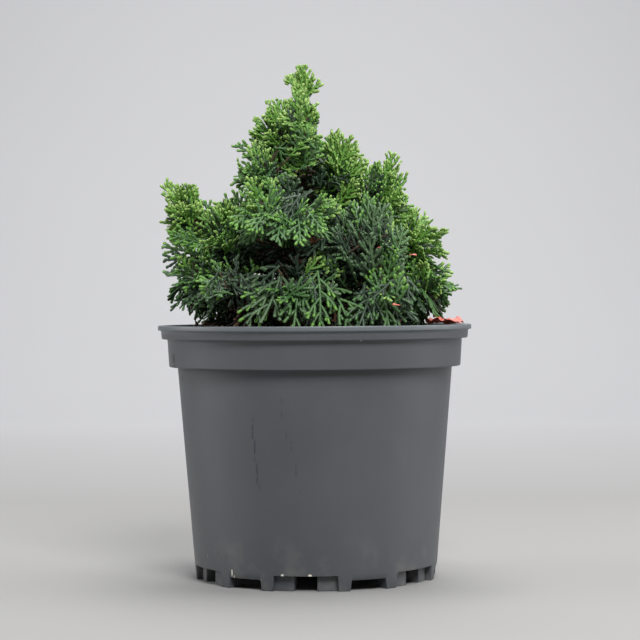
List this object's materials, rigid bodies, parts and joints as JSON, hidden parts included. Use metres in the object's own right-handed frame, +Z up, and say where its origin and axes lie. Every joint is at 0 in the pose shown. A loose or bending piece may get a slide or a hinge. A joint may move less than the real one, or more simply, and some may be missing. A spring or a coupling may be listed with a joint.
{
  "type": "potted conifer",
  "caption": "Dwarf hinoki cypress, a dense irregular cone of scale-leaved fans, in a round grey nursery pot that stands on feet cut out of its skirt.",
  "frame": {"origin": "on the pot's axis, at the plane that its feet stand on", "axes": "+Z up along the pot's axis, -Y towards the front of the plant, +X towards its right side"},
  "size_m": [0.19, 0.19, 0.311],
  "materials": {
    "pot": "satin grey moulded plastic",
    "soil": "coarse moist bark compost",
    "bark": "thin peeling red-brown bark",
    "foliage": "waxy scale leaves"
  },
  "bodies": {
    "root": {"pot": "pot", "growing_medium": "soil", "trunk": "bark", "bough_dome": "bark", "bough_shoulder": "bark", "bough_right_upper": "bark", "bough_right_lower": "bark", "bough_left_tip": "bark", "bough_left_middle": "bark", "bough_left_lower": "bark", "bough_left_front": "bark", "bough_cloud": "bark", "bough_front_low": "bark", "bough_front_right": "bark", "bough_front_right_low": "bark", "bough_back_upper": "bark", "bough_back_right": "bark", "bough_back_left": "bark", "bough_back_centre": "bark", "bough_back_low_right": "bark", "bough_back_low_left": "bark", "bough_back_low": "bark", "foliage_crown_tip": "foliage", "foliage_leader_left": "foliage", "foliage_leader_front": "foliage", "foliage_leader_back": "foliage", "foliage_leader_skirt": "foliage", "foliage_dome": "foliage", "foliage_shoulder": "foliage", "foliage_right_upper": "foliage", "foliage_right_lower": "foliage", "foliage_left_tip": "foliage", "foliage_left_middle": "foliage", "foliage_left_lower": "foliage", "foliage_left_front": "foliage", "foliage_cloud": "foliage", "foliage_front_low": "foliage", "foliage_front_right": "foliage", "foliage_front_right_low": "foliage", "foliage_back_upper": "foliage", "foliage_back_right": "foliage", "foliage_back_left": "foliage", "foliage_back_centre": "foliage", "foliage_back_low_right": "foliage", "foliage_back_low_left": "foliage", "foliage_back_low": "foliage"}
  },
  "joints": []
}
